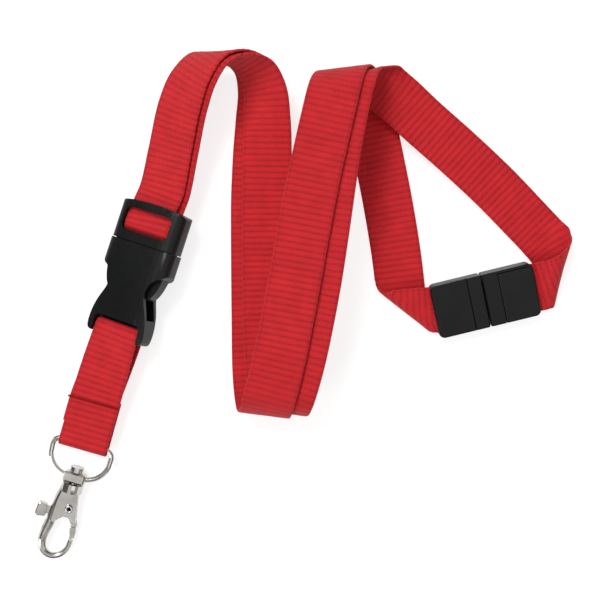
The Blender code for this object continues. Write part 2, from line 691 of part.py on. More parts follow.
def hook_body(hook, finish):
    # centre x, y, half width in plan and half thickness along spine, bowl and nose
    spine = [
        (-2.4, -4.0, 2.0, 2.2),
        (-3.6, -9.0, 2.0, 2.2),
        (-4.4, -14.2, 2.1, 2.1),
        (-5.1, -20.2, 2.1, 2.0),
        (-6.0, -25.2, 1.9, 1.9),
        (-6.0, -28.8, 1.7, 1.7),
        (-4.4, -32.2, 1.5, 1.6),
        (-1.1, -33.6, 1.3, 1.5),
        (2.4, -32.4, 1.2, 1.4),
        (4.5, -29.4, 1.15, 1.35),
        (5.0, -25.6, 1.1, 1.3),
    ]
    rows = curve_through(spine, 3)
    path = [(x, y, 0.0) for x, y, _, _ in rows]
    sizes = [(wide, tall) for _, _, wide, tall in rows]
    body = add_object("hook_body", wire(path, sizes, UP, 14), finish, hook)

    plate = [(-3.4, -4.0), (-4.6, -10.0), (-5.2, -19.4), (-3.4, -19.8), (-2.2, -17.8), (-0.6, -16.5)]
    plate += [(1.2, -16.4), (3.2, -17.2), (4.9, -18.3), (5.4, -17.8), (4.2, -12.5), (3.2, -4.0)]
    plate = helper("hook_plate", prism(plate, -HOOK_THICK / 2.0, HOOK_THICK / 2.0), hook)
    bevel(plate, 0.4, 1)
    boolean(body, "UNION", plate)
    boss = cylinder(PIN_BOSS_RADIUS, -2.6, 2.6, at=(*PIN_AT, 0.0), sides=20)
    boolean(body, "UNION", helper("pin_boss", boss, hook))
    for name, radius, low, high in (
        ("flange", FLANGE_RADIUS, -6.0, -COLLAR_HALF - 0.35),
        ("post", POST_RADIUS, -3.5, 3.5),
        ("head", HEAD_RADIUS, COLLAR_HALF + 0.35, COLLAR_HALF + 2.35),
    ):
        boolean(body, "UNION", helper(name, cylinder(radius, low, high, "Y", sides=20), hook))
    boolean(body, "DIFFERENCE", helper("lever_slot", box(-10.0, 8.0, -19.7, -9.4, -1.1, 1.1), hook))
    hole = cylinder(PIN_RADIUS + 0.3, -5.0, 5.0, at=(*PIN_AT, 0.0), sides=20)
    boolean(body, "DIFFERENCE", helper("pin_hole", hole, hook))


def hook_gate(hook, finish):
    px, py = PIN_AT
    pivot = (px, py, 0.0)
    arm = [(-7.8, -14.2), (-7.8, -17.2), (-1.0, -15.6), (1.2, -15.8), (3.4, -19.0), (5.8, -20.6)]
    arm += [(6.0, -18.8), (4.2, -14.0), (3.6, -11.2), (1.2, -9.8), (-1.2, -11.2)]
    lever = add_object("hook_gate", prism(arm, -LEVER_THICK / 2.0, LEVER_THICK / 2.0), finish, hook, pivot)

    tip = []
    for x in (6.15, 5.4, 4.7, 4.0):
        tip.append((x, py - math.sqrt(GATE_REACH**2 - (x - px) ** 2)))
    bar = [(3.3, -20.2)] + [(3.5, -22.5)] + tip[::-1] + [(6.2, -21.5), (5.6, -19.9), (3.4, -19.9)]
    bar = helper("gate_bar", prism(bar, -1.35, 1.35), hook)
    bevel(bar, 0.5, 2)
    boolean(lever, "UNION", bar)
    tab = [(-7.4, -13.3), (-10.6, -12.6), (-11.4, -13.2), (-11.8, -17.8), (-11.0, -18.6), (-7.4, -18.0)]
    tab = helper("thumb_tab", prism(tab, -1.7, 1.7), hook)
    bevel(tab, 0.6, 2)
    boolean(lever, "UNION", tab)
    hole = cylinder(PIN_RADIUS + 0.3, -2.0, 2.0, at=pivot, sides=20)
    boolean(lever, "DIFFERENCE", helper("lever_hole", hole, hook))
    pocket = cylinder(2.0, -0.1, 2.0, at=pivot, sides=20)
    boolean(lever, "DIFFERENCE", helper("spring_pocket", pocket, hook))


def gate_pin(hook, finish):
    pivot = (*PIN_AT, 0.0)
    pin = add_object("gate_pin", cylinder(PIN_RADIUS, -3.1, 3.1, at=pivot, sides=20), finish, hook, pivot)
    for name, low, high in (("top_head", 2.95, 3.35), ("bottom_head", -3.35, -2.95)):
        boolean(pin, "UNION", helper(name, cylinder(1.7, low, high, at=pivot, sides=20), hook))
    dimple = cylinder(0.8, 2.2, 4.0, at=pivot, sides=16)
    boolean(pin, "DIFFERENCE", helper("pin_dimple", dimple, hook))


def gate_spring(hook, finish):
    coils = 1.5
    path = []
    for i in range(int(coils * 14) + 1):
        turn = 2.0 * math.pi * i / 14
        x = PIN_AT[0] + 1.7 * math.cos(turn)
        y = PIN_AT[1] + 1.7 * math.sin(turn)
        path.append((x, y, 0.12 + 0.36 * i / 14))
    sizes = [(0.13, 0.13)] * len(path)
    add_object("gate_spring", wire(path, sizes, UP, 6), finish, hook, (*PIN_AT, 0.0))


def main():
    clear_scene()
    red = material("webbing", WEBBING_COLOUR, 0.75, 0.0)
    thread = material("thread", THREAD_COLOUR, 0.8, 0.0)
    plastic = material("black_plastic", PLASTIC_COLOUR, 0.5, 0.0)
    nickel = material("nickel", NICKEL_COLOUR, 0.22, 1.0)
    steel = material("spring_steel", SPRING_COLOUR, 0.35, 1.0)

    buckle = placed_frame("buckle_frame", BUCKLE_AT, BUCKLE_HEADING, BUCKLE_ROLL)
    breakaway = placed_frame("breakaway_frame", BREAKAWAY_AT, BREAKAWAY_HEADING, -BREAKAWAY_ROLL)
    ring = placed_frame("ring_frame", HOOK_AT, HOOK_HEADING, 0.0, HOOK_PITCH)
    hook = placed_frame("hook_frame", HOOK_AT, HOOK_HEADING, HOOK_ROLL, HOOK_PITCH)

    neck_webbing(buckle, breakaway, red)
    short_webbing(buckle, ring, red, thread)
    plug(buckle, plastic)
    prong("plug_prong_left", -1.0, buckle, plastic)
    prong("plug_prong_right", 1.0, buckle, plastic)
    socket(buckle, plastic)
    breakaway_halves(breakaway, plastic)
    clasp_ring(ring, nickel)
    hook_body(hook, nickel)
    hook_gate(hook, nickel)
    gate_pin(hook, steel)
    gate_spring(hook, steel)


main()
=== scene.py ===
"""Looks of the folded neck lanyard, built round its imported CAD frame."""

import math

import bpy
from mathutils import Matrix, Vector


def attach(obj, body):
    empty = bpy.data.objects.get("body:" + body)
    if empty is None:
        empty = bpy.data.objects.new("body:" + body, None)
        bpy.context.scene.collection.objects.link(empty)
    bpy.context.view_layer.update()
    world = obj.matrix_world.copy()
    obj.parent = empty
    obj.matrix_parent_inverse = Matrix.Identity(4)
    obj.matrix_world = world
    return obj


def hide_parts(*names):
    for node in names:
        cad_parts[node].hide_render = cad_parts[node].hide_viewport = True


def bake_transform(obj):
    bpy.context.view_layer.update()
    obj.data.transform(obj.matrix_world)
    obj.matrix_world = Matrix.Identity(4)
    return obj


MM = 0.001
UP = Vector((0.0, 0.0, 1.0))

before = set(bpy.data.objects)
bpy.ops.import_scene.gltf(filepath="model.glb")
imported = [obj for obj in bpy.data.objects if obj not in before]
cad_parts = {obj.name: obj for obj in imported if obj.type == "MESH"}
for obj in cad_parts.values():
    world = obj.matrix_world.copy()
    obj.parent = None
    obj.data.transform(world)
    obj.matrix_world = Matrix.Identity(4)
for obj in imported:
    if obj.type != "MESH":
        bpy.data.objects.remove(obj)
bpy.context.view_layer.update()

# Where the layout's origin lies from the frame's origin, as in the CAD source
OUTLINE_MIDDLE = Vector((0.84, -3.14, 0.05))


def add_object(name, data):
    """New object linked to the scene."""
    made = bpy.data.objects.new(name, data)
    bpy.context.scene.collection.objects.link(made)
    return made


def fill_ramp(color_ramp, stops):
    """Sets a colour ramp's stops, each a position and a colour."""
    elements = color_ramp.elements
    while len(elements) < len(stops):
        elements.new(0.5)
    for element, (at, colour) in zip(elements, stops):
        element.position = at
        element.color = (*colour, 1.0)


# ------------------------------------------------------------------- camera

VIEW_HEIGHT = 450.0
SENSOR_WIDTH = 36.0
LENS = 65.9
NEAR_CLIP = 0.01

camera_data = bpy.data.cameras.new("camera")
camera_data.sensor_width = SENSOR_WIDTH
camera_data.lens = LENS
camera_data.clip_start = NEAR_CLIP
camera = add_object("camera", camera_data)
camera.location = (Vector((0.0, 0.0, VIEW_HEIGHT)) - OUTLINE_MIDDLE) * MM
bpy.context.scene.camera = camera
bpy.context.scene.view_settings.view_transform = "Standard"

# ------------------------------------------- layout, repeated from the CAD source

WEB_WIDTH = 20.0
WEB_THICK = 1.2
LAYER_PITCH = 1.8
CLEARANCE = 0.3

BUCKLE_AT = (-61.5, 21.5, 9.4)
BUCKLE_HEADING = 72.0
BUCKLE_ROLL = 20.0
PLUG_BAR_AT = 7.2
PLUG_BAR_RADIUS = 2.1
PLUG_BAR_RISE = 0.7
WRAP_SHIFT = -0.6
SOCKET_BAR_AT = -35.2
SOCKET_BAR_RADIUS = 1.4

BREAKAWAY_AT = (74.6, 0.1, 5.8)
BREAKAWAY_HEADING = 13.6
BREAKAWAY_ROLL = 12.0
BREAKAWAY_LENGTH = 42.3
LEFT_CLAMP_END = -12.0
RIGHT_CLAMP_END = 6.4

HOOK_AT = (-91.3, -71.9, 4.7)
HOOK_HEADING = 74.0
HOOK_PITCH = 3.8
HOOK_ROLL = -8.0
RING_BAR_AT = 14.2
RING_WIRE = 2.2
STITCH_ABOVE = 18.0
PIN_AT = (1.2, -12.6)

# Where each half of the neck webbing leaves the buckle, in the buckle's frame
OUTER_START = (-1.2, 17.5, 1.4)
INNER_START = (0.5, 17.5, -1.1)

# Places along the breakaway where the webbing is held straight
LEFT_INSET = 3.6
LEFT_HOLD = LEFT_INSET - BREAKAWAY_LENGTH / 2.0
RIGHT_INSET = 0.5
RIGHT_HOLDS = (BREAKAWAY_LENGTH / 2.0 - RIGHT_INSET, 16.0)
CLAMP_GAP = 0.4

# The short strap in the ring's frame: shift along the bar, distance from the bar and height
SHORT_UP = [(-0.8, 7.5, 0.0), (-0.8, 13.0, -0.1), (-0.6, STITCH_ABOVE + 2.0, -0.4)]
SHORT_DOWN = [(0.0, STITCH_ABOVE, 1.6), (0.0, 8.0, 1.8)]
SHORT_UNDER = [(0.0, 8.0, -1.9), (0.0, STITCH_ABOVE, -1.9), (0.0, STITCH_ABOVE + 1.5, -2.0)]

# Station of the inner half at which the neck webbing's second piece starts
SEAM_STATION = 20

# Rows of the runs: x, y and z, then azimuth and lift of the webbing's cross direction,
# and in the shared run how far the inner half is shifted sideways
SHARED_RUN = [
    (-55.4, 44.0, 9.8, -16, 20, 1.8),
    (-51.8, 59.6, 12.5, -13, 25, 2.0),
    (-47.4, 76.8, 18.0, -14, 29, 2.0),
    (-42.6, 87.8, 21.5, -20, 36, 2.0),
    (-35.5, 96.0, 21.0, -16, 44, 2.0),
    (-26.7, 97.0, 15.8, 0, 50, 2.5),
    (-19.4, 93.4, 10.6, 6, 43, 3.2),
    (-16.6, 85.0, 7.4, 2, 31, 3.8),
    (-16.7, 73.2, 5.2, 0, 20, 4.3),
    (-17.5, 58.2, 3.0, 0, 9, 4.6),
    (-18.2, 40.9, 1.4, 0, 3, 4.8),
    (-18.2, 20.5, 1.0, 0, 1, 4.8),
    (-18.0, -4.1, 1.1, -1, 1, 4.8),
    (-17.6, -28.0, 1.6, -4, 0, 5.4),
    (-16.6, -38.2, 5.0, -5, 0, 5.8),
    (-15.2, -44.2, 12.0, -6, 0, 6.2),
    (-13.8, -44.4, 20.5, -8, 0, 6.6),
    (-12.0, -39.0, 28.0, -10, 0, 7.0),
    (-8.0, -23.3, 31.6, -12, 0, 7.5),
    (-2.5, 4.6, 31.6, -13, 0, 7.8),
    (1.5, 27.1, 31.6, -13, 0, 7.4),
    (5.3, 46.9, 31.6, -12, 0, 6.4),
    (8.6, 62.0, 31.6, -11, 0, 5.4),
]

# Folds: start, azimuth of the axis and radius; the webbing reaches them along a heading
MIDDLE_HEADING = 77.0
OUTER_TOP_FOLD = ((11.8, 75.9, 31.5), 7.0, 14.2)
INNER_TOP_FOLD = ((16.9, 76.2, 29.5), 17.1, 9.6)

# Number of the inner top fold's stations that are kept before the top turn takes over
TOP_TURN_FROM = 6
DOWN_RUN = [
    (31.4, 61.1, 3.0, 13, 8),
    (35.5, 40.8, 2.6, 12, 8),
    (39.2, 19.0, 1.8, 11, 4),
]
DOWN_HEADING = -84.0
LEFT_FOLD = ((41.6, -0.5, 1.1), -38.0, 2.4)
LEFT_FOLD_LIFTS = (0.0, -9.5)
TOP_TURN = [
    (29.8, 86.4, 14.0, 25, 3),
    (38.4, 81.0, 11.6, 36, 6),
]
BAND_RUN = [
    (49.3, 71.5, 9.6, 43, 8),
    (64.1, 58.9, 7.6, 46, 8),
    (78.9, 45.7, 5.0, 47, 6),
]
BAND_END_RUN = [
    (90.6, 34.1, 3.2, 47, 4),
    (98.2, 26.3, 2.4, 49, 3),
    (101.7, 22.0, 3.2, 54, 9),
    (104.0, 17.2, 4.6, 66, 18),
    (105.5, 12.5, 6.2, 76, 24),
    (104.5, 9.3, 8.0, 84, 26),
    (101.9, 6.9, 9.0, 93, 24),
    (98.6, 5.8, 8.0, 100, 17),
]


def direction(azimuth, lift=0.0):
    """Unit vector at an azimuth from +X and a lift above the table, in degrees."""
    turn = math.radians(azimuth)
    rise = math.radians(lift)
    return Vector((math.cos(turn) * math.cos(rise), math.sin(turn) * math.cos(rise), math.sin(rise)))


def local_frame(at, heading, roll, pitch=0.0):
    """Matrix of a fitting's own frame, y along its heading, in layout millimetres."""
    along = direction(heading, pitch)
    level = direction(heading - 90.0)
    up = level.cross(along)
    turn = math.radians(roll)
    across = level * math.cos(turn) + up * math.sin(turn)
    rotation = Matrix((across, along, across.cross(along))).transposed().to_4x4()
    return Matrix.Translation(Vector(at)) @ rotation


BUCKLE = local_frame(BUCKLE_AT, BUCKLE_HEADING, BUCKLE_ROLL)
BREAKAWAY = local_frame(BREAKAWAY_AT, BREAKAWAY_HEADING, -BREAKAWAY_ROLL)
RING = local_frame(HOOK_AT, HOOK_HEADING, 0.0, HOOK_PITCH)
HOOK = local_frame(HOOK_AT, HOOK_HEADING, HOOK_ROLL, HOOK_PITCH)


def station(x, y, z, azimuth, lift, *_):
    """Place and cross direction of one row of a run."""
    return Vector((x, y, z)), direction(azimuth, lift)


FOLD_STEP = 3.5
FEWEST_FOLD_STEPS = 6
LOOP_STEPS = 8


def fold(start, heading, axis_azimuth, radius, side, lifts=(0.0, 0.0)):
    """Half a turn round a level axis; side 1 rolls up and back over, -1 rolls down."""
    axis = direction(axis_azimuth)
    ahead = direction(heading)
    along = ahead.dot(axis)
    out = ahead - axis * along
    across = out.length
    out.normalize()
    steps = max(FEWEST_FOLD_STEPS, math.ceil(math.pi * radius / FOLD_STEP))
    stations = []
    for i in range(steps + 1):
        share = i / steps
        turn = math.pi * share
        rise = UP * (side * (1.0 - math.cos(turn)))
        shift = axis * (turn * along / across) + out * math.sin(turn) + rise
        lift = lifts[0] + (lifts[1] - lifts[0]) * share
        stations.append((Vector(start) + shift * radius, direction(axis_azimuth, lift)))
    return stations


def inner_half(run):
    """Stations of the half that lies inside the outer half's bends."""
    laid = [(Vector(row[:3]), direction(row[3], row[4]), row[5]) for row in run]
    stations = []
    for i, (place, across, shift) in enumerate(laid):
        before = laid[max(i - 1, 0)][0]
        after = laid[min(i + 1, len(laid) - 1)][0]
        outward = across.cross(after - before).normalized()
        stations.append((place + across * shift - outward * LAYER_PITCH, across))
    return stations


def loop_round(place, centre, radius, start, end):
    """Stations round a bar along a frame's x, turn 0 being its +z side."""
    across = place.col[0].to_3d()
    x, y, z = centre
    stations = []
    for i in range(LOOP_STEPS + 1):
        turn = math.radians(start + (end - start) * i / LOOP_STEPS)
        point = Vector((x, y - radius * math.sin(turn), z + radius * math.cos(turn)))
        stations.append((place @ point, across))
    return stations


def neck_stations():
    """Stations of the whole neck webbing, and how many come before the seam in it."""
    across = BUCKLE.col[0].to_3d()
    side = BREAKAWAY.col[0].to_3d()
    outer = [(BUCKLE @ Vector(OUTER_START), across)]
    outer += [station(*row) for row in SHARED_RUN]
    start, axis, radius = OUTER_TOP_FOLD
    outer += fold(start, MIDDLE_HEADING, axis, radius, -1)
    outer += [station(*row) for row in DOWN_RUN]
    start, axis, radius = LEFT_FOLD
    outer += fold(start, DOWN_HEADING, axis, radius, 1, LEFT_FOLD_LIFTS)
    for y in (LEFT_HOLD, LEFT_CLAMP_END - CLAMP_GAP):
        outer.append((BREAKAWAY @ Vector((0.0, y, 0.0)), side))

    inner = [(BUCKLE @ Vector(INNER_START), across)]
    inner += inner_half(SHARED_RUN)
    start, axis, radius = INNER_TOP_FOLD
    inner += fold(start, MIDDLE_HEADING, axis, radius, -1)[:TOP_TURN_FROM]
    inner += [station(*row) for row in TOP_TURN + BAND_RUN + BAND_END_RUN]
    for y in (*RIGHT_HOLDS, RIGHT_CLAMP_END + CLAMP_GAP):
        inner.append((BREAKAWAY @ Vector((0.0, y, 0.0)), -side))

    round_bar = PLUG_BAR_RADIUS + CLEARANCE + WEB_THICK / 2.0
    bar = (WRAP_SHIFT, PLUG_BAR_AT, PLUG_BAR_RISE)
    first = outer[::-1] + loop_round(BUCKLE, bar, round_bar, 0.0, 180.0)
    return first + inner, len(first) + SEAM_STATION


def short_stations():
    """Stations of the short strap, round the socket's bar and the ring."""
    across = RING.col[0].to_3d()

    def by_ring(rows):
        return [(RING @ Vector((x, RING_BAR_AT + above, z)), across) for x, above, z in rows]

    round_socket = SOCKET_BAR_RADIUS + CLEARANCE + WEB_THICK / 2.0
    round_ring = RING_WIRE / 2.0 + CLEARANCE + WEB_THICK / 2.0
    route = by_ring(SHORT_UP)
    route += loop_round(BUCKLE, (0.0, SOCKET_BAR_AT, 0.0), round_socket, 180.0, 360.0)
    route += by_ring(SHORT_DOWN)
    route += loop_round(RING, (0.0, RING_BAR_AT, 0.0), round_ring, 0.0, 180.0)
    return route + by_ring(SHORT_UNDER)


def smooth(stations, step):
    """Places, cross directions and station numbers along the smooth run."""
    count = len(stations)
    knots = [0.0]
    for (a, _), (b, _) in zip(stations, stations[1:]):
        knots.append(knots[-1] + math.sqrt((b - a).length))

    def slope(values, i):
        if i == 0:
            return (values[1] - values[0]) / (knots[1] - knots[0])
        if i == count - 1:
            return (values[i] - values[i - 1]) / (knots[i] - knots[i - 1])
        before = (values[i] - values[i - 1]) / (knots[i] - knots[i - 1])
        after = (values[i + 1] - values[i]) / (knots[i + 1] - knots[i])
        return before + after - (values[i + 1] - values[i - 1]) / (knots[i + 1] - knots[i - 1])

    places = [place for place, _ in stations]
    acrosses = [across for _, across in stations]
    samples = []
    for i in range(count - 1):
        span = knots[i + 1] - knots[i]
        pieces = max(1, round((places[i + 1] - places[i]).length / step))
        ends = [(v[i], slope(v, i), v[i + 1], slope(v, i + 1)) for v in (places, acrosses)]
        for k in range(pieces):
            t = k / pieces
            leaving = (t**3 - 2 * t**2 + t) * span
            arriving = (t**3 - t**2) * span
            weights = (2 * t**3 - 3 * t**2 + 1, leaving, 3 * t**2 - 2 * t**3, arriving)
            place, across = [
                sum((row * weight for row, weight in zip(rows, weights)), Vector((0.0, 0.0, 0.0)))
                for rows in ends
            ]
            samples.append((place, across.normalized(), i))
    samples.append((places[-1], acrosses[-1].normalized(), count - 1))
    return samples


# ------------------------------------------------------------------ webbing

MM_PER_CM = 10.0
RIB_PITCH = 2.4
ROW_STEP = 0.4
RIB_HEIGHT = 0.1
CORE_HALF = 0.5

# Least share of the height that a rib has, and how much more it may have by chance
LEAST_RIB = 0.82
RIB_CHANCE = 0.3
RIB_SEED = 3.0

# How far the ribs wander along the webbing: height, turns across and turns along
WANDERS = [(0.16, 0.9, 0.05), (0.07, 7.0, 0.31)]

# How far a rib's end stands out at the edge, and where along the half width that starts
EDGE_SCALLOP = 0.14
EDGE_FROM = 0.9


def scatter(number, seed):
    """Repeatable value from 0 to 1 that looks random from one number to the next."""
    value = math.sin(number * 12.9898 + seed * 78.233) * 43758.5453
    return value - math.floor(value)


def rib(s):
    """0 in the valley between two ribs, 1 on a rib's crown."""
    return 0.5 - 0.5 * math.cos(2.0 * math.pi * s / RIB_PITCH)


# Share of half the width, and share of the half thickness, round one section
UPPER = [(-1.0, 0.0), (-0.995, 0.62), (-0.965, 0.95), (-0.9, 0.97)]
UPPER += [(-0.8, 1.0), (-0.5, 1.0), (-0.17, 1.0)]
UPPER += [(-u, h) for u, h in UPPER[::-1]]
SECTION = UPPER + [(u, -h) for u, h in UPPER[-2:0:-1]]


def ribbon(name, samples, finish, first_length=0.0):
    """Ribbed webbing along samples, with along and across lengths as its UV, in cm."""
    points = []
    uvs = []
    last = len(samples) - 1
    s = first_length
    for i, (place, across, _) in enumerate(samples):
        if i:
            s += (place - samples[i - 1][0]).length
        along = (samples[min(i + 1, last)][0] - samples[max(i - 1, 0)][0]).normalized()
        lean = across.dot(along)
        square = math.sqrt(1.0 - lean * lean)
        normal = across.cross(along).normalized()
        for u, h in SECTION:
            straight = u * WEB_WIDTH / 2.0 / square
            here = s + straight * lean
            for height, turns_across, turns_along in WANDERS:
                here += height * math.sin(turns_across * u + turns_along * s)
            number = math.floor(here / RIB_PITCH)
            crown = rib(here) * (LEAST_RIB + RIB_CHANCE * scatter(number, RIB_SEED))
            half = CORE_HALF + RIB_HEIGHT * crown
            edge = EDGE_SCALLOP * (crown - 0.5) * max(0.0, abs(u) - EDGE_FROM) / (1.0 - EDGE_FROM)
            reach = straight + math.copysign(edge, u)
            points.append((place + across * reach + normal * (half * h) - OUTLINE_MIDDLE) * MM)
            uvs.append((u * WEB_WIDTH / 2.0 / MM_PER_CM, (s + straight * lean) / MM_PER_CM))
    size = len(SECTION)
    faces = []
    for i in range(last):
        for k in range(size):
            j = (k + 1) % size
            faces.append((i * size + k, i * size + j, (i + 1) * size + j, (i + 1) * size + k))
    faces.append(tuple(reversed(range(size))))
    faces.append(tuple(range(last * size, last * size + size)))
    mesh = bpy.data.meshes.new(name)
    mesh.from_pydata(points, [], faces)
    layer = mesh.uv_layers.new(name="UVMap")
    layer.data.foreach_set("uv", [c for loop in mesh.loops for c in uvs[loop.vertex_index]])
    mesh.materials.append(finish)
    mesh.shade_smooth()
    return add_object(name, mesh), s


# ---------------------------------------------------------------- materials

# Webbing: yarns to a centimetre of width, and the selvage's row of needle marks
YARNS_PER_CM = 14.0
RIBS_PER_CM = MM_PER_CM / RIB_PITCH
MARKS_AT_SHARE = 0.925
MARKS_PER_RIB = 3.0
MARK_SHARPNESS = 18.0
WEBBING_TONES = [
    (0.0, (0.12, 0.001, 0.003)),
    (0.4, (0.37, 0.004, 0.009)),
    (0.75, (0.56, 0.01, 0.016)),
    (1.0, (0.68, 0.026, 0.03)),
]
PLASTIC_TONES = [(0.3, (0.0025, 0.0027, 0.003)), (0.75, (0.005, 0.0053, 0.006))]
THREAD_TONES = [(0.3, (0.14, 0.002, 0.004)), (0.8, (0.34, 0.008, 0.012))]


class Nodes:
    """Short calls for wiring one material's node tree."""

    def __init__(self, name, **sockets):
        self.material = bpy.data.materials.new(name)
        self.material.use_nodes = True
        self.tree = self.material.node_tree
        self.shader = self.tree.nodes["Principled BSDF"]
        for key, value in sockets.items():
            self.shader.inputs[key.replace("_", " ")].default_value = value

    def put(self, socket, value):
        if isinstance(value, bpy.types.NodeSocket):
            self.tree.links.new(value, socket)
        elif value is not None:
            socket.default_value = value

    def add(self, kind, inputs=None, **settings):
        node = self.tree.nodes.new("ShaderNode" + kind)
        for key, value in settings.items():
            setattr(node, key, value)
        for key, value in (inputs or {}).items():
            self.put(node.inputs[key], value)
        return node

    def math(self, operation, a, b=None, c=None, clamp=False):
        node = self.add("Math", operation=operation, use_clamp=clamp)
        for i, value in enumerate((a, b, c)):
            self.put(node.inputs[i], value)
        return node.outputs[0]

    def noise(self, vector, scale, detail=2.0, roughness=0.5):
        inputs = {"Vector": vector, "Scale": scale, "Detail": detail, "Roughness": roughness}
        return self.add("TexNoise", inputs).outputs["Fac"]

    def ramp(self, value, stops):
        node = self.add("ValToRGB", {"Fac": value})
        fill_ramp(node.color_ramp, stops)
        return node.outputs["Color"]

    def bump(self, height, strength, distance, normal=None):
        inputs = {"Height": height, "Strength": strength, "Distance": distance}
        if normal is not None:
            inputs["Normal"] = normal
        return self.add("Bump", inputs).outputs["Normal"]

    def position(self):
        return self.add("TexCoord").outputs["Object"]


def webbing_material():
    """Cross-ribbed polyester: staggered lengthwise floats over thick weft ribs."""
    n = Nodes("webbing", Sheen_Weight=0.14, Sheen_Roughness=0.45)
    n.shader.inputs["Specular IOR Level"].default_value = 0.32
    n.shader.inputs["Sheen Tint"].default_value = (1.0, 0.45, 0.42, 1.0)
    uv = n.add("UVMap", uv_map="UVMap").outputs["UV"]
    split = n.add("SeparateXYZ", {"Vector": uv})
    u, v = split.outputs["X"], split.outputs["Y"]
    wander = n.noise(uv, 3.0, 2.0)

    # Ribs across the webbing, each with a valley at both sides that gets painted shade
    ribs = n.math("MULTIPLY_ADD", v, RIBS_PER_CM, n.math("MULTIPLY", wander, 0.12))
    number = n.math("FLOOR", ribs)
    within = n.math("FRACT", ribs)
    crown = n.math("SINE", n.math("MULTIPLY", within, math.pi))
    valley = n.math("POWER", n.math("SUBTRACT", 1.0, crown, clamp=True), 1.6)

    # Yarns along it, half a yarn aside on every other rib, with painted shade in the gaps between them,
    # deepest in the rib valleys
    stagger = n.math("FRACT", n.math("MULTIPLY", number, 0.5))
    shift = n.math("MULTIPLY_ADD", wander, 0.9, stagger)
    yarns = n.math("ADD", n.math("MULTIPLY", u, YARNS_PER_CM), shift)
    yarn = n.math("ABSOLUTE", n.math("SINE", n.math("MULTIPLY", yarns, math.pi)))
    pick = n.math("FLOOR", yarns)
    cell = n.add("CombineXYZ", {"X": pick, "Y": number})
    tone = n.add("TexWhiteNoise", {"Vector": cell.outputs[0]}, noise_dimensions="2D").outputs["Value"]
    between = n.math("POWER", n.math("SUBTRACT", 1.0, yarn), 1.5)
    gap = n.math("MULTIPLY", between, n.math("MULTIPLY_ADD", valley, 2.2, 0.45))
    gap = n.math("MULTIPLY", gap, n.math("MULTIPLY_ADD", tone, 1.1, 0.25), clamp=True)
    fuzz = n.noise(uv, 90.0, 3.0, 0.65)
    patch = n.noise(uv, 1.4, 2.0)

    # Needle marks of the selvage, a row of dots inside each edge
    inset = n.math("ABSOLUTE", n.math("SUBTRACT", n.math("ABSOLUTE", u), MARKS_AT_SHARE))
    near = n.math("SUBTRACT", 1.0, n.math("MULTIPLY", inset, MARK_SHARPNESS), clamp=True)
    beat = n.math("SINE", n.math("MULTIPLY", v, 2.0 * math.pi * MARKS_PER_RIB * RIBS_PER_CM))
    dots = n.math("MULTIPLY", near, n.math("MULTIPLY_ADD", beat, 1.6, -0.5, clamp=True), clamp=True)

    # Colour: painted shade in the rib valleys and in the gaps between yarns, and darker needle marks
    painted_shade_and_marks = n.math("MULTIPLY_ADD", valley, 0.1, n.math("MULTIPLY", gap, 1.05))
    painted_shade_and_marks = n.math("ADD", painted_shade_and_marks, n.math("MULTIPLY", dots, 0.85))
    light = n.math("MULTIPLY_ADD", patch, 0.35, n.math("MULTIPLY", tone, 0.12))
    light = n.math("MULTIPLY_ADD", fuzz, 0.55, light)
    value = n.math("SUBTRACT", n.math("ADD", light, 0.22), n.math("MULTIPLY", painted_shade_and_marks, 0.55), clamp=True)
    n.put(n.shader.inputs["Base Color"], n.ramp(value, WEBBING_TONES))

    # Relief of the yarns and marks
    height = n.math("MULTIPLY_ADD", yarn, 0.45, n.math("MULTIPLY", fuzz, 0.5))
    height = n.math("SUBTRACT", height, n.math("MULTIPLY_ADD", gap, 0.9, n.math("MULTIPLY", dots, 1.2)))
    n.put(n.shader.inputs["Normal"], n.bump(height, 0.7, 0.00015))
    n.put(n.shader.inputs["Roughness"], n.math("MULTIPLY_ADD", fuzz, 0.2, 0.66))
    return n.material


def plastic_material():
    """Near-black moulded plastic with a fine spark-eroded texture."""
    n = Nodes("black_plastic")
    n.shader.inputs["Specular IOR Level"].default_value = 0.2
    place = n.position()
    grain = n.noise(place, 2600.0, 3.0, 0.6)
    cloud = n.noise(place, 90.0, 3.0, 0.55)
    scuff = n.noise(place, 520.0, 4.0, 0.7)
    n.put(n.shader.inputs["Base Color"], n.ramp(cloud, PLASTIC_TONES))
    n.put(n.shader.inputs["Roughness"], n.math("MULTIPLY_ADD", scuff, 0.18, 0.24))
    height = n.math("MULTIPLY_ADD", scuff, 0.35, grain)
    n.put(n.shader.inputs["Normal"], n.bump(height, 0.22, 0.00006))
    return n.material


def metal_material(name, low, high, roughness):
    """Plated casting: bright, slightly uneven, with fine handling marks; made near-black, it is the
    rivet bore's painted shade.
    """
    n = Nodes(name, Metallic=1.0)
    place = n.position()
    uneven = n.noise(place, 160.0, 2.0)
    fine = n.noise(place, 1500.0, 4.0, 0.65)
    n.put(n.shader.inputs["Base Color"], n.ramp(uneven, [(0.3, low), (0.7, high)]))
    n.put(n.shader.inputs["Roughness"], n.math("MULTIPLY_ADD", fine, 0.12, roughness))
    soft = n.bump(uneven, 0.35, 0.0004)
    n.put(n.shader.inputs["Normal"], n.bump(fine, 0.1, 0.00005, soft))
    return n.material


def thread_material():
    """Dull sewing thread with a fine twist."""
    n = Nodes("thread", Roughness=0.9)
    n.shader.inputs["Specular IOR Level"].default_value = 0.15
    place = n.position()
    twist = n.noise(place, 2200.0, 3.0)
    n.put(n.shader.inputs["Base Color"], n.ramp(twist, THREAD_TONES))
    n.put(n.shader.inputs["Normal"], n.bump(twist, 0.4, 0.0001))
    return n.material


